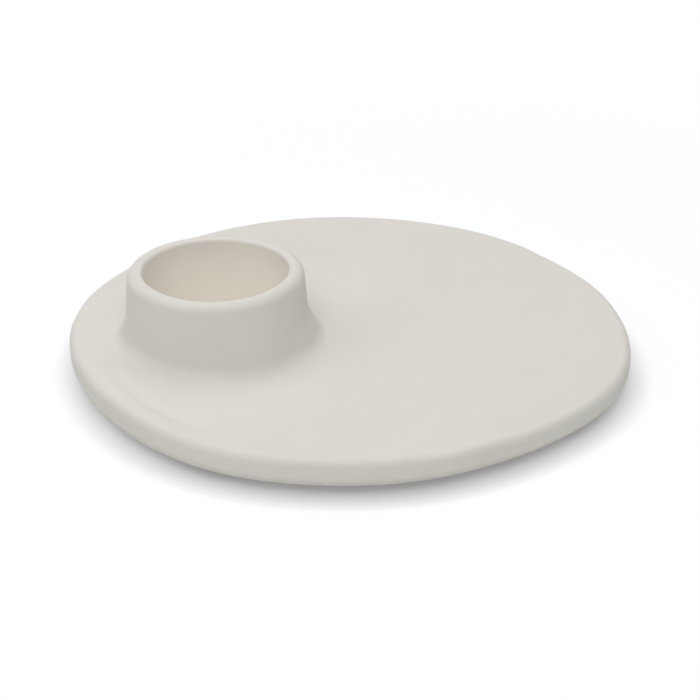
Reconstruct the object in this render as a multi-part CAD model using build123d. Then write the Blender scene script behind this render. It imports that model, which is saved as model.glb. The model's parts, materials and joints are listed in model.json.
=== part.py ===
from build123d import *
import os
from math import radians, tan

# Candle plate: a round ceramic plate with one open candle cup off its centre, standing on four felt pads.
# Millimetres. Origin on the table under the plate's centre, +Z up, the cup towards -X.

# Plate
plate_diameter = 160.0
plate_thickness = 8.7
edge_top_radius = 2.4
edge_land = 2.3  # upright stretch of the edge, between its two roundings

# Candle cup
candle_diameter = 38.5  # metal case of a tealight
candle_clearance = 1.25  # all round the candle
cup_wall = 4.2  # at the rim
cup_height = 20.4  # rim above the plate's top
cup_taper = 5.2  # degrees, the outside widens downwards
cup_floor_thickness = 5.0  # ceramic under the candle
cup_floor_radius = 3.0  # between the bore and its floor
cup_base_fillet = 3.4  # between the cup's outside and the plate's top
cup_edge_margin = 9.8  # flat top between the base fillet and the plate's edge rounding
rim_inner_radius = 1.2  # rim rounding on the bore's side
rim_land = 0.6  # level crest between the rim's two roundings

# Underside
recess_depth = 1.5
pad_margin = 2.0  # bare foot ring on each side of a pad

# Felt pads
pad_count = 4
pad_diameter = 12.0
pad_thickness = 1.5
adhesive_thickness = 0.2
first_pad_angle = 45.0

# Sizes that follow from the ones above
plate_radius = plate_diameter / 2
edge_bottom_radius = plate_thickness - edge_top_radius - edge_land
plate_bottom = pad_thickness + adhesive_thickness
plate_top = plate_bottom + plate_thickness
rim_top = plate_top + cup_height
bore_radius = candle_diameter / 2 + candle_clearance
rim_radius = bore_radius + cup_wall
cup_base_radius = rim_radius + cup_height * tan(radians(cup_taper))
cup_floor = plate_bottom + recess_depth + cup_floor_thickness
cup_offset = plate_radius - edge_top_radius - cup_edge_margin - cup_base_fillet - cup_base_radius
rim_outer_radius = cup_wall - rim_land - rim_inner_radius
foot_outer_radius = plate_radius - edge_bottom_radius
foot_inner_radius = foot_outer_radius - pad_diameter - 2 * pad_margin
pad_circle_radius = (foot_outer_radius + foot_inner_radius) / 2

standing = (Align.CENTER, Align.CENTER, Align.MIN)


def rounded_plate():
    """The plate with its two edge roundings and the shallow recess inside the foot ring."""
    disc = Pos(0, 0, plate_bottom) * Cylinder(plate_radius, plate_thickness, align=standing)
    rims = disc.edges().sort_by(Axis.Z)
    disc = fillet(rims[-1], edge_top_radius)
    lower_rim = disc.edges().filter_by(GeomType.CIRCLE).sort_by(Axis.Z)[0]
    disc = fillet(lower_rim, edge_bottom_radius)
    recess = Cone(foot_inner_radius, foot_inner_radius - recess_depth, recess_depth, align=standing)
    return disc - Pos(0, 0, plate_bottom) * recess


def circle_at(solid, radius, height):
    """The solid's circular edge of this radius round the cup's axis, nearest this height."""
    circles = solid.edges().filter_by(GeomType.CIRCLE)
    same_radius = [edge for edge in circles if abs(edge.radius - radius) < 1e-4]
    return min(same_radius, key=lambda edge: abs(edge.center().Z - height))


def ceramic_plate():
    """The one-piece moulding: the plate with the tapered cup growing out of its top."""
    cup_axis = Pos(-cup_offset, 0, 0)
    outside = Cone(cup_base_radius, rim_radius, cup_height, align=standing)
    body = rounded_plate() + cup_axis * Pos(0, 0, plate_top) * outside
    body = fillet(circle_at(body, cup_base_radius, plate_top), cup_base_fillet)
    bore = Cylinder(bore_radius, rim_top - cup_floor, align=standing)
    bore = fillet(bore.edges().sort_by(Axis.Z)[0], cup_floor_radius)
    body = body - cup_axis * Pos(0, 0, cup_floor) * bore
    body = fillet(circle_at(body, rim_radius, rim_top), rim_outer_radius)
    return fillet(circle_at(body, bore_radius, rim_top), rim_inner_radius)


def disc_under_plate(angle, bottom, thickness):
    """A pad-sized disc on the foot ring, at this angle round the plate."""
    disc = Cylinder(pad_diameter / 2, thickness, align=standing)
    return Rot(0, 0, angle) * Pos(pad_circle_radius, 0, bottom) * disc


pieces = {"ceramic_plate": ceramic_plate()}
for number in range(pad_count):
    pad_angle = first_pad_angle + number * 360 / pad_count
    pieces[f"felt_pad_{number + 1}"] = disc_under_plate(pad_angle, 0, pad_thickness)
    pieces[f"adhesive_disc_{number + 1}"] = disc_under_plate(pad_angle, pad_thickness, adhesive_thickness)

os.makedirs("parts", exist_ok=True)
for name, piece in pieces.items():
    piece.label = name
    export_step(piece, f"parts/{name}.step")

print(f"cup offset {cup_offset:.2f} mm, bore {2 * bore_radius:.1f} mm wide and {rim_top - cup_floor:.1f} mm deep")
print(f"overall height {rim_top:.1f} mm, pads on a circle of radius {pad_circle_radius:.2f} mm")
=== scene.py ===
import json
from math import atan2, cos, hypot, pi, radians, sin, tan

import bmesh
import bpy
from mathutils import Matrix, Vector


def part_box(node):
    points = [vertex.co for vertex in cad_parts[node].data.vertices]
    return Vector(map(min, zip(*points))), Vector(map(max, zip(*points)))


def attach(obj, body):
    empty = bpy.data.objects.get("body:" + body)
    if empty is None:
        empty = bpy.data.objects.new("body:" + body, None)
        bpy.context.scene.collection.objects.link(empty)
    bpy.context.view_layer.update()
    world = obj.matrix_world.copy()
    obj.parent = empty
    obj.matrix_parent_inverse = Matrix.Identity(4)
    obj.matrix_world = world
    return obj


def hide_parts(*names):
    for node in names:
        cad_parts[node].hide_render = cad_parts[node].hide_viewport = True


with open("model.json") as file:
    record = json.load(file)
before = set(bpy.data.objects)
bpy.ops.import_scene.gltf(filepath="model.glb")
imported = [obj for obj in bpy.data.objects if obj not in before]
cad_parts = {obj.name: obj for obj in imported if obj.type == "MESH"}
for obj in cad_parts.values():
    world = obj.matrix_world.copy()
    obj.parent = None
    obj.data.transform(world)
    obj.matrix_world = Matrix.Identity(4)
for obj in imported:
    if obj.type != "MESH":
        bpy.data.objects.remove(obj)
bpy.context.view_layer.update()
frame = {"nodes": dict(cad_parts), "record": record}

# Sizes in metres. What the frame tells is read from it, the rest repeats the part's own values.
MM = 0.001
plate_low, plate_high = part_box("ceramic_plate")
plate_radius = (plate_high.x - plate_low.x) / 2
plate_bottom = plate_low.z
rim_top = plate_high.z
cup_mount = next(mount for mount in frame["record"]["mounts"] if mount["name"] == "candle_cup")
cup_x = cup_mount["pos_m"][0]
bore_radius = cup_mount["dims"]["r_mm"] * MM
pad_low, pad_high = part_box("felt_pad_1")
pad_radius = (pad_high.x - pad_low.x) / 2
pad_centre = (pad_low + pad_high) / 2
pad_thickness = pad_high.z - pad_low.z

plate_thickness = 8.7 * MM
plate_top = plate_bottom + plate_thickness
edge_top_radius = 2.4 * MM
edge_bottom_radius = 4.0 * MM
cup_height = rim_top - plate_top
cup_wall = 4.2 * MM
cup_taper = radians(5.2)
cup_depth = 22.6 * MM
cup_floor_radius = 3.0 * MM
cup_base_fillet = 3.4 * MM
rim_inner_radius = 1.2 * MM
rim_outer_radius = 2.4 * MM
rim_radius = bore_radius + cup_wall
cup_base_radius = rim_radius + cup_height * tan(cup_taper)
foot_width = 16.0 * MM
foot_outer_radius = plate_radius - edge_bottom_radius
foot_inner_radius = foot_outer_radius - foot_width
recess_depth = 1.5 * MM

# Softness that the part's solids don't have
recess_softness = 0.5 * MM
pad_edge_softness = 0.35 * MM
felt_grain = 0.2 * MM
felt_lump_width = 0.9 * MM
felt_lump_depth = 0.16 * MM

AROUND = 192  # corners round the plate and round the cup
PAD_AROUND = 72
PAD_COUNT = 4
SAME_PLACE = 0.02 * MM  # corners this near to a circle or a level lie on it
SEAM_GAP = 0.001 * MM

# Rings of faces for the pulls to hold: widths in from the plate's edge, heights up the cup's wall
top_rings = (edge_top_radius + 0.6 * MM, 1.6 * MM, 1.6 * MM, 1.6 * MM, 1.6 * MM, 1.2 * MM, 0.4 * MM)
inner_top_radius = plate_radius - sum(top_rings)
wall_rings = (4.4 * MM, 6.2 * MM, 8.5 * MM)

# Stretches of the moulding that are pulled out of true: the axis they go round, their radii, their heights
groove_radii = (plate_radius - 8.5 * MM, plate_radius - 7 * MM)
base_radii = (rim_radius, cup_base_radius + cup_base_fillet)
fillet_foot = plate_top + 0.4 * MM
fillet_middle = plate_top + 2 * MM
fillet_head = plate_top + 3.3 * MM
EDGE = (0, (foot_outer_radius, 2 * plate_radius), (0, plate_top))
LIP = (0, (plate_radius - edge_top_radius, 2 * plate_radius), (plate_top - edge_top_radius, rim_top))
GROOVE = (0, groove_radii, (plate_top - 1 * MM, rim_top))
RIM = (cup_x, (bore_radius / 2, rim_radius), (rim_top - rim_inner_radius, 2 * rim_top))
BASE = (cup_x, base_radii, (0, plate_top + cup_base_fillet))
FLARE = (cup_x, base_radii, (fillet_foot, fillet_head))
FOOT = (cup_x, base_radii, (fillet_foot, fillet_middle))

# A hand-made plate is never quite true. Each pull has its stretch, its bearing and half-width in degrees,
# then the mm outwards, the mm upwards and the mm over which it fades.
UNEVEN_PULLS = (
    (LIP, -20, 46, 0, -0.3, 8.5),
    (LIP, -44, 24, 0, -0.3, 8.5),
    (LIP, -62, 26, 0, -0.6, 8.5),
    (LIP, -160, 32, 0, 0.3, 8.5),
    (LIP, -160, 22, 0, 0.3, 8.5),
    (LIP, -160, 12, 0, 0.3, 8.5),
    (GROOVE, -154, 24, 0, -0.55, 2.8),
    (GROOVE, -152, 14, 0, -0.35, 2.8),
    (EDGE, -32, 1.2, 2.0, 0, 42),
    (EDGE, -72, 1.2, -0.9, 0, 36),
    (EDGE, 23, 1.2, -1.4, 0, 38),
    (EDGE, 43, 1.2, -0.3, 0, 28),
    (EDGE, 61, 1.2, -0.65, 0, 38),
    (EDGE, 135, 1.2, -1.6, 0, 30),
    (EDGE, -130, 1.2, 0.8, 0, 36),
    (EDGE, -166, 1.2, -0.6, 0, 34),
    (RIM, -103, 1.2, 0, -0.4, 25),
    (BASE, -70, 1.2, 1.2, 0, 20),
    (BASE, -150, 1.2, -0.5, 0, 20),
    (FLARE, -22, 38, 0.4, 0, 4.5),
    (FLARE, -18, 24, 0.6, 0, 4.5),
    (FOOT, -18, 28, 0.4, 0, 4.5),
    (FOOT, -16, 16, 0.4, 0, 4.5),
    (FOOT, 167, 30, 0.7, 0, 4),
)

# Colours of the finishes, each pair from its darker to its lighter tone
CERAMIC_TONES = ((0.822, 0.782, 0.717), (0.84, 0.802, 0.739))
# Painted light: the bore's paler, warmer tone stands in for the light that bounces round inside the cup
BORE_PAINTED_LIGHT = (0.892, 0.847, 0.781)
BARE_FOOT_TONE = (0.74, 0.67, 0.58)
FELT_TONES = ((0.31, 0.285, 0.245), (0.53, 0.495, 0.435))
FLECK_TONE = (0.66, 0.63, 0.57)
FILM_TONES = ((0.74, 0.72, 0.66), (0.84, 0.82, 0.77))
NOISE_LOW = 0.3  # a noise keeps mostly between these two
NOISE_HIGH = 0.7

CAMERA_STAND = Vector((-95.5 * MM, -416.9 * MM, 219.6 * MM))
CAMERA_AIM = Vector((0.26 * MM, -2.31 * MM, 1.7 * MM))
LENS = 84.3  # mm
SENSOR_WIDTH = 36.0  # mm
LAMP_WIDTH = 1.0
LAMP_DISTANCE = 1.2
LAMP_TINT = (0.97, 0.99, 1.0)

# The floor: its paint, the paler one that the camera sees, and where it fades from shadow to plain white
FLOOR_WIDTH = 8.0
FLOOR_PAINT = (0.86, 0.86, 0.86, 1)
FLOOR_SEEN = (1.2, 1.21, 1.27, 1)
FADE_STARTS = 0.14
FADE_ENDS = 0.3
# Near the plate the camera sees mostly a painted soft shadow, an emission dimmed by occlusion; the rest is
# the lamps' real shadow
PAINTED_SHADOW_SHARE = 0.75  # share of the soft shadow near the plate, the rest is the shadow of the lamps

# The painted soft shadow is shaped as if for light from behind the plate: how far from upright, turned how
# far to the left
PAINTED_SHADOW_LEAN = radians(32)
PAINTED_SHADOW_TURN = radians(22)
PAINTED_SHADOW_REACH = 9.5 * MM
PAINTED_SHADOW_DARKEST = 0.19


# Small modelling helpers

def start_piece():
    """Leaves edit mode and clears the selection, so that a new primitive stands alone."""
    if bpy.context.object and bpy.context.object.mode == "EDIT":
        bpy.ops.object.mode_set(mode="OBJECT")
    bpy.ops.object.select_all(action="DESELECT")


def edit(piece, select_mode):
    """Goes into edit mode on one piece with nothing selected."""
    bpy.context.view_layer.objects.active = piece
    bpy.ops.object.mode_set(mode="EDIT")
    bpy.ops.mesh.select_mode(type=select_mode)
    bpy.ops.mesh.select_all(action="DESELECT")


def pick(piece, items, wanted):
    """Adds to the selection every vertex, edge or face whose corners all pass the test."""
    mesh = bmesh.from_edit_mesh(piece.data)
    for item in getattr(mesh, items):
        corners = [item] if items == "verts" else item.verts
        if all(wanted(corner.co) for corner in corners):
            item.select_set(True)
    mesh.select_flush_mode()
    bmesh.update_edit_mesh(piece.data)


def on_circle(centre_x, radius, height):
    """A test for points on a level circle."""
    def test(point):
        off_radius = abs(hypot(point.x - centre_x, point.y) - radius)
        return off_radius < SAME_PLACE and abs(point.z - height) < SAME_PLACE
    return test


def round_loop(piece, centre_x, radius, height, offset, segments):
    """Rounds the sharp circle at this place."""
    bpy.ops.mesh.select_all(action="DESELECT")
    pick(piece, "edges", on_circle(centre_x, radius, height))
    bpy.ops.mesh.bevel(offset=offset, segments=segments, profile=0.5, affect="EDGES", clamp_overlap=False)


def close_seams():
    """Closes seams and turns every face of the piece in edit mode outwards."""
    bpy.ops.mesh.select_all(action="SELECT")
    bpy.ops.mesh.remove_doubles(threshold=SEAM_GAP)
    bpy.ops.mesh.normals_make_consistent(inside=False)
    bpy.ops.object.mode_set(mode="OBJECT")
    bpy.ops.object.shade_smooth()


def finish_with(piece, kind, **settings):
    """Adds a modifier with these settings and applies it."""
    modifier = piece.modifiers.new(kind.lower(), kind)
    for name, value in settings.items():
        setattr(modifier, name, value)
    bpy.context.view_layer.objects.active = piece
    bpy.ops.object.modifier_apply(modifier=modifier.name)


# Ceramic plate

def plate_disc():
    """The plate's disc with an open top, its foot ring and the recess inside it."""
    start_piece()
    middle = plate_bottom + plate_thickness / 2
    bpy.ops.mesh.primitive_cylinder_add(
        vertices=AROUND, radius=plate_radius, depth=plate_thickness,
        end_fill_type="NGON", location=(0, 0, middle))
    plate = bpy.context.object
    plate.name = "ceramic_body"
    bpy.ops.object.transform_apply(location=True, rotation=True, scale=True)
    edit(plate, "FACE")
    pick(plate, "faces", lambda point: point.z > middle)
    for width in top_rings:
        bpy.ops.mesh.inset(thickness=width, depth=0)
    bpy.ops.mesh.delete(type="ONLY_FACE")
    pick(plate, "faces", lambda point: point.z < middle)
    bpy.ops.mesh.inset(thickness=plate_radius - foot_inner_radius, depth=0)
    bpy.ops.mesh.inset(thickness=recess_depth, depth=-recess_depth)
    return plate


def raise_cup(plate):
    """Draws the cup out of the plate's top: up the tapered outside, over the rim and down the bore."""
    bpy.ops.mesh.select_all(action="DESELECT")
    bpy.ops.mesh.select_mode(type="EDGE")
    bpy.ops.mesh.primitive_circle_add(
        vertices=AROUND, radius=cup_base_radius, fill_type="NOTHING", location=(cup_x, 0, plate_top))
    turns = [(cup_base_radius - height * tan(cup_taper), plate_top + height) for height in wall_rings]
    turns += [(rim_radius, rim_top), (bore_radius, rim_top), (bore_radius, rim_top - cup_depth)]
    last_radius, last_height = cup_base_radius, plate_top
    for radius, height in turns:
        bpy.ops.mesh.extrude_region_move(TRANSFORM_OT_translate={"value": (0, 0, height - last_height)})
        narrow = radius / last_radius
        bpy.ops.transform.resize(value=(narrow, narrow, 1), center_override=(cup_x, 0, height))
        last_radius, last_height = radius, height
    bpy.ops.mesh.edge_face_add()
    bpy.ops.mesh.select_all(action="DESELECT")
    pick(plate, "edges", on_circle(0, inner_top_radius, plate_top))
    pick(plate, "edges", on_circle(cup_x, cup_base_radius, plate_top))
    bpy.ops.mesh.bridge_edge_loops()


def pull(plate, stretch, bearing, half_width, outward, upward, reach):
    """Draws part of a stretch out and up, or in and down by negative values, fading over the reach."""
    centre_x, radii, heights = stretch

    def within(point):
        turn = atan2(point.y, point.x - centre_x) - bearing
        off_bearing = abs((turn + pi) % (2 * pi) - pi)
        radius = hypot(point.x - centre_x, point.y)
        on_stretch = radii[0] < radius < radii[1] and heights[0] < point.z < heights[1]
        return on_stretch and off_bearing < half_width

    bpy.ops.mesh.select_mode(type="VERT")
    bpy.ops.mesh.select_all(action="DESELECT")
    pick(plate, "verts", within)
    bpy.ops.transform.translate(
        value=(outward * cos(bearing), outward * sin(bearing), upward), use_proportional_edit=True,
        use_proportional_connected=True, proportional_edit_falloff="SMOOTH", proportional_size=reach)


def ceramic_body():
    """The one-piece moulding: plate and cup with all their roundings, pulled out of true."""
    plate = plate_disc()
    raise_cup(plate)
    fillet_reach = cup_base_fillet / tan((pi / 2 + cup_taper) / 2)
    bore_floor = rim_top - cup_depth
    recess_radius = foot_inner_radius - recess_depth
    recess_top = plate_bottom + recess_depth
    round_loop(plate, cup_x, cup_base_radius, plate_top, fillet_reach, segments=16)
    round_loop(plate, cup_x, rim_radius, rim_top, rim_outer_radius, segments=12)
    round_loop(plate, cup_x, bore_radius, rim_top, rim_inner_radius, segments=8)
    round_loop(plate, cup_x, bore_radius, bore_floor, cup_floor_radius, segments=10)
    round_loop(plate, 0, plate_radius, plate_top, edge_top_radius, segments=12)
    round_loop(plate, 0, plate_radius, plate_bottom, edge_bottom_radius, segments=16)
    round_loop(plate, 0, foot_inner_radius, plate_bottom, recess_softness, segments=4)
    round_loop(plate, 0, recess_radius, recess_top, recess_softness, segments=4)
    for stretch, bearing, half_width, outward, upward, reach in UNEVEN_PULLS:
        pull(plate, stretch, radians(bearing), radians(half_width), outward * MM, upward * MM, reach * MM)
    close_seams()
    finish_with(plate, "WEIGHTED_NORMAL", keep_sharp=True)
    return plate


# Felt pads

def felt_disc():
    """One cut felt disc: soft edges and a lumpy skin that stays inside the disc's own size."""
    start_piece()
    bpy.ops.mesh.primitive_cylinder_add(
        vertices=PAD_AROUND, radius=pad_radius, depth=pad_thickness,
        end_fill_type="NGON", location=pad_centre)
    disc = bpy.context.object
    disc.name = "felt_1"
    bpy.ops.object.transform_apply(location=True, rotation=True, scale=True)
    edit(disc, "EDGE")
    for level in (pad_low.z, pad_high.z):
        pick(disc, "edges", lambda point: abs(point.z - level) < SAME_PLACE)
    bpy.ops.mesh.bevel(
        offset=pad_edge_softness, segments=3, profile=0.5, affect="EDGES", clamp_overlap=False)
    close_seams()
    finish_with(disc, "REMESH", mode="VOXEL", voxel_size=felt_grain)
    lumps = bpy.data.textures.new("felt_lumps", "CLOUDS")
    lumps.noise_scale = felt_lump_width
    lumps.noise_depth = 2
    finish_with(
        disc, "DISPLACE", texture=lumps, texture_coords="LOCAL", mid_level=1.0, strength=felt_lump_depth)
    bpy.ops.object.shade_smooth()
    return disc


def felt_pads():
    """The disc and its copies, one at each pad's place round the plate."""
    pads = [felt_disc()]
    for number in range(2, PAD_COUNT + 1):
        start_piece()
        pads[0].select_set(True)
        bpy.context.view_layer.objects.active = pads[0]
        bpy.ops.object.duplicate(linked=False)
        pad = bpy.context.object
        pad.name = f"felt_{number}"
        low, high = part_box(f"felt_pad_{number}")
        middle = (low + high) / 2
        pad.rotation_euler.z = atan2(middle.y, middle.x) - atan2(pad_centre.y, pad_centre.x)
        bpy.ops.object.transform_apply(location=True, rotation=True, scale=True)
        pads.append(pad)
    return pads


# Materials

def new_material(name):
    """A node material with its shader, ready to be wired."""
    material = bpy.data.materials.new(name)
    material.use_nodes = True
    return material, material.node_tree.nodes, material.node_tree.links


def add(nodes, links, kind, settings=None, **wires):
    """A node with these socket values and with these sockets wired to other nodes' outputs."""
    node = nodes.new(kind)
    for socket, value in (settings or {}).items():
        node.inputs[socket].default_value = value
    for socket, source in wires.items():
        links.new(source, node.inputs[socket])
    return node


def combined(nodes, links, operation, first, second):
    """One value from two, such as their product or the greater one."""
    node = nodes.new("ShaderNodeMath")
    node.operation = operation
    links.new(first, node.inputs[0])
    links.new(second, node.inputs[1])
    return node.outputs["Value"]


def length_of(nodes, links, vector):
    """How long a vector is."""
    node = nodes.new("ShaderNodeVectorMath")
    node.operation = "LENGTH"
    links.new(vector, node.inputs[0])
    return node.outputs["Value"]


def noise(nodes, links, place, scale, detail, distortion=0.0):
    """An even noise, finer with a greater scale."""
    settings = {"Scale": scale, "Detail": detail, "Distortion": distortion}
    return add(nodes, links, "ShaderNodeTexNoise", settings, Vector=place).outputs["Fac"]


def spread(nodes, links, source, low, high):
    """Takes a value between 0 and 1 into this range."""
    limits = {"To Min": low, "To Max": high}
    return add(nodes, links, "ShaderNodeMapRange", limits, Value=source).outputs["Result"]


def soft_step(nodes, links, source, start, end):
    """0 up to the start and 1 past the end, with a soft passage. The end may come before the start."""
    low, high = min(start, end), max(start, end)
    limits = {"From Min": low, "From Max": high, "To Min": float(low == end), "To Max": float(high == end)}
    step = add(nodes, links, "ShaderNodeMapRange", limits, Value=source)
    step.interpolation_type = "SMOOTHSTEP"
    return step.outputs["Result"]


def two_tone(nodes, links, source, dark, light):
    """A colour between these two, from a noise around one half."""
    ramp = add(nodes, links, "ShaderNodeValToRGB", Fac=source)
    ramp.color_ramp.elements[0].position = NOISE_LOW
    ramp.color_ramp.elements[0].color = (*dark, 1)
    ramp.color_ramp.elements[1].position = NOISE_HIGH
    ramp.color_ramp.elements[1].color = (*light, 1)
    return ramp.outputs["Color"]


def mixed(nodes, links, share, first, second):
    """The first colour, giving way to a plain second one where the share rises to 1."""
    mix = nodes.new("ShaderNodeMix")
    mix.data_type = "RGBA"
    links.new(share, mix.inputs["Factor"])
    links.new(first, mix.inputs["A"])
    mix.inputs["B"].default_value = (*second, 1)
    return mix.outputs["Result"]


def roughen(nodes, links, height, strength, depth):
    """Gives the shader a fine relief."""
    bump = add(nodes, links, "ShaderNodeBump", {"Strength": strength, "Distance": depth}, Height=height)
    links.new(bump.outputs["Normal"], nodes["Principled BSDF"].inputs["Normal"])


def matte_ceramic():
    """Off-white matte ceramic: a faint mottle, a fine grain, a bore painted paler and warmer as painted
    light bouncing inside the cup, and a bare foot ring.
    """
    material, nodes, links = new_material("matte_ceramic")
    shader = nodes["Principled BSDF"]
    shader.inputs["Specular IOR Level"].default_value = 0.2
    place = nodes.new("ShaderNodeTexCoord").outputs["Object"]
    height = add(nodes, links, "ShaderNodeSeparateXYZ", Vector=place).outputs["Z"]
    mottle = noise(nodes, links, place, scale=45, detail=4)
    colour = two_tone(nodes, links, mottle, *CERAMIC_TONES)

    # Painted light: inside the bore the glaze is painted paler and warmer, standing in for light bouncing
    # inside the cup
    centring = {"Location": (-cup_x, 0, 0), "Scale": (1, 1, 0)}
    from_cup = add(nodes, links, "ShaderNodeMapping", centring, Vector=place).outputs["Vector"]
    from_axis = length_of(nodes, links, from_cup)
    inside = soft_step(nodes, links, from_axis, bore_radius + 1.5 * MM, bore_radius + 0.2 * MM)
    recess_top = plate_bottom + recess_depth
    above = soft_step(nodes, links, height, recess_top + 1 * MM, recess_top + 2 * MM)
    bore = combined(nodes, links, "MULTIPLY", inside, above)
    colour = mixed(nodes, links, bore, colour, BORE_PAINTED_LIGHT)

    foot = soft_step(nodes, links, height, plate_bottom + 0.5 * MM, plate_bottom + 0.2 * MM)
    colour = mixed(nodes, links, foot, colour, BARE_FOOT_TONE)
    links.new(colour, shader.inputs["Base Color"])

    wear = noise(nodes, links, place, scale=260, detail=3)
    links.new(spread(nodes, links, wear, low=0.64, high=0.76), shader.inputs["Roughness"])
    grain = noise(nodes, links, place, scale=1800, detail=3)
    roughen(nodes, links, grain, strength=0.08, depth=0.05 * MM)
    return material


def pressed_felt():
    """Grey-beige wool felt: short tangled fibres, lighter flecks and a soft sheen."""
    material, nodes, links = new_material("pressed_felt")
    shader = nodes["Principled BSDF"]
    shader.inputs["Roughness"].default_value = 0.95
    shader.inputs["Specular IOR Level"].default_value = 0.15
    shader.inputs["Sheen Weight"].default_value = 0.25
    shader.inputs["Sheen Roughness"].default_value = 0.6
    place = nodes.new("ShaderNodeTexCoord").outputs["Object"]
    fibres = noise(nodes, links, place, scale=1500, detail=6, distortion=3.0)
    colour = two_tone(nodes, links, fibres, *FELT_TONES)
    specks = noise(nodes, links, place, scale=3200, detail=2)
    flecks = soft_step(nodes, links, specks, start=0.62, end=0.72)
    colour = mixed(nodes, links, flecks, colour, FLECK_TONE)
    links.new(colour, shader.inputs["Base Color"])
    roughen(nodes, links, fibres, strength=0.6, depth=0.15 * MM)
    return material


def adhesive_film():
    """Milky self-adhesive film, a little cloudy."""
    material, nodes, links = new_material("adhesive_film")
    shader = nodes["Principled BSDF"]
    shader.inputs["Specular IOR Level"].default_value = 0.4
    place = nodes.new("ShaderNodeTexCoord").outputs["Object"]
    cloud = noise(nodes, links, place, scale=900, detail=3)
    colour = two_tone(nodes, links, cloud, *FILM_TONES)
    links.new(colour, shader.inputs["Base Color"])
    links.new(spread(nodes, links, cloud, low=0.28, high=0.5), shader.inputs["Roughness"])
    roughen(nodes, links, cloud, strength=0.3, depth=0.05 * MM)
    return material


def dress(piece, material):
    """Gives a piece this material alone."""
    piece.data.materials.clear()
    piece.data.materials.append(material)


# Stage, light and camera

def looked_at(nodes, links):
    """1 where the camera looks, also by way of a shiny or clear piece, and 0 for all other light."""
    path = nodes.new("ShaderNodeLightPath")
    shiny = path.outputs["Is Glossy Ray"]
    clear = path.outputs["Is Transmission Ray"]
    passed_on = combined(nodes, links, "MAXIMUM", shiny, clear)
    return combined(nodes, links, "MAXIMUM", path.outputs["Is Camera Ray"], passed_on)


def pale_floor():
    """A wide pale floor with the plate's shadow, partly the lamps' and mostly painted, which fades to
    plain white for the camera further out.
    """
    start_piece()
    bpy.ops.mesh.primitive_plane_add(size=FLOOR_WIDTH, location=(0, 0, 0))
    floor = bpy.context.object
    floor.name = "floor"
    material, nodes, links = new_material("white_floor")
    shader = nodes["Principled BSDF"]
    shader.inputs["Roughness"].default_value = 1.0
    shader.inputs["Specular IOR Level"].default_value = 0.0
    seen = looked_at(nodes, links)
    paint = nodes.new("ShaderNodeMix")
    paint.data_type = "RGBA"
    paint.inputs["A"].default_value = FLOOR_PAINT
    paint.inputs["B"].default_value = FLOOR_SEEN
    links.new(seen, paint.inputs["Factor"])
    links.new(paint.outputs["Result"], shader.inputs["Base Color"])

    place = nodes.new("ShaderNodeTexCoord").outputs["Object"]
    from_middle = length_of(nodes, links, place)
    limits = {"From Min": FADE_STARTS, "From Max": FADE_ENDS, "To Min": PAINTED_SHADOW_SHARE}
    fade = add(nodes, links, "ShaderNodeMapRange", limits, Value=from_middle)
    fade.interpolation_type = "SMOOTHSTEP"
    share = combined(nodes, links, "MULTIPLY", fade.outputs["Result"], seen)

    # Painted shadow: for the camera the floor near the plate is an emission dimmed by occlusion, leaning
    # as if for a light behind the plate
    away = atan2(-CAMERA_STAND.y, -CAMERA_STAND.x) + PAINTED_SHADOW_TURN
    lean = {"X": sin(PAINTED_SHADOW_LEAN) * cos(away), "Y": sin(PAINTED_SHADOW_LEAN) * sin(away), "Z": cos(PAINTED_SHADOW_LEAN)}
    towards = add(nodes, links, "ShaderNodeCombineXYZ", lean).outputs["Vector"]
    open_air = add(nodes, links, "ShaderNodeAmbientOcclusion", {"Distance": PAINTED_SHADOW_REACH}, Normal=towards)
    limits = {"From Max": (1 + cos(PAINTED_SHADOW_LEAN)) / 2, "To Min": PAINTED_SHADOW_DARKEST}
    painted_shade = add(nodes, links, "ShaderNodeMapRange", limits, Value=open_air.outputs["AO"])
    white = add(nodes, links, "ShaderNodeEmission", Strength=painted_shade.outputs["Result"])

    blend = add(nodes, links, "ShaderNodeMixShader", Fac=share)
    links.new(shader.outputs["BSDF"], blend.inputs[1])
    links.new(white.outputs["Emission"], blend.inputs[2])
    links.new(blend.outputs["Shader"], nodes["Material Output"].inputs["Surface"])
    floor.data.materials.append(material)


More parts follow.
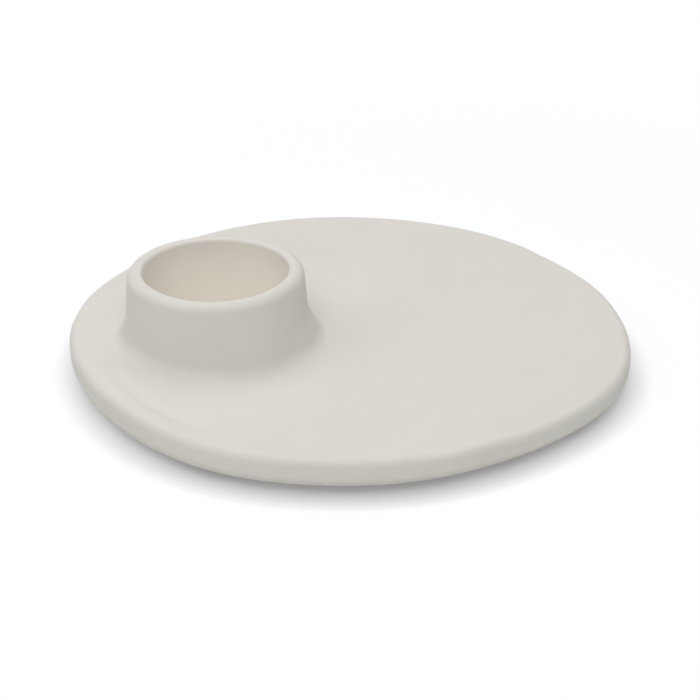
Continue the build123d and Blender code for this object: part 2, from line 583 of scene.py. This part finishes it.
def white_surround(fill):
    """An even white room: plain white where it is seen, a soft fill for everything else."""
    world = bpy.data.worlds.new("white_room")
    bpy.context.scene.world = world
    world.use_nodes = True
    nodes, links = world.node_tree.nodes, world.node_tree.links
    background = nodes["Background"]
    background.inputs["Color"].default_value = (1, 1, 1, 1)
    level = add(nodes, links, "ShaderNodeMix", {"A": fill, "B": 1.0}, Factor=looked_at(nodes, links))
    links.new(level.outputs["Result"], background.inputs["Strength"])


def soft_box(name, bearing, elevation, power):
    """A wide square light turned to the plate, at this bearing anticlockwise from the camera's."""
    lamp = bpy.data.lights.new(name, "AREA")
    lamp.shape = "SQUARE"
    lamp.size = LAMP_WIDTH
    lamp.energy = power
    lamp.color = LAMP_TINT
    holder = bpy.data.objects.new(name, lamp)
    bpy.context.scene.collection.objects.link(holder)
    turn = atan2(CAMERA_STAND.y, CAMERA_STAND.x) + radians(bearing)
    rise = radians(elevation)
    place = LAMP_DISTANCE * Vector((cos(rise) * cos(turn), cos(rise) * sin(turn), sin(rise)))
    holder.location = place
    holder.rotation_euler = (-place).to_track_quat("-Z", "Y").to_euler()


def photo_camera():
    """The camera where the photograph was taken from."""
    view = bpy.data.cameras.new("photo_camera")
    view.sensor_width = SENSOR_WIDTH
    view.lens = LENS
    holder = bpy.data.objects.new("photo_camera", view)
    bpy.context.scene.collection.objects.link(holder)
    holder.location = CAMERA_STAND
    holder.rotation_euler = (CAMERA_AIM - CAMERA_STAND).to_track_quat("-Z", "Y").to_euler()
    bpy.context.scene.camera = holder


body = ceramic_body()
dress(body, matte_ceramic())
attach(body, "root")
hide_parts("ceramic_plate")

felt = pressed_felt()
film = adhesive_film()
for number, pad in enumerate(felt_pads(), start=1):
    dress(pad, felt)
    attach(pad, "root")
    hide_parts(f"felt_pad_{number}")
    dress(frame["nodes"][f"adhesive_disc_{number}"], film)

pale_floor()
white_surround(fill=0.05)
soft_box("front_softbox", bearing=0, elevation=45, power=6.0)
soft_box("right_softbox", bearing=90, elevation=45, power=2.0)
soft_box("back_softbox", bearing=180, elevation=65, power=5.8)
soft_box("left_softbox", bearing=270, elevation=45, power=4.0)
photo_camera()
bpy.context.scene.view_settings.view_transform = "Standard"
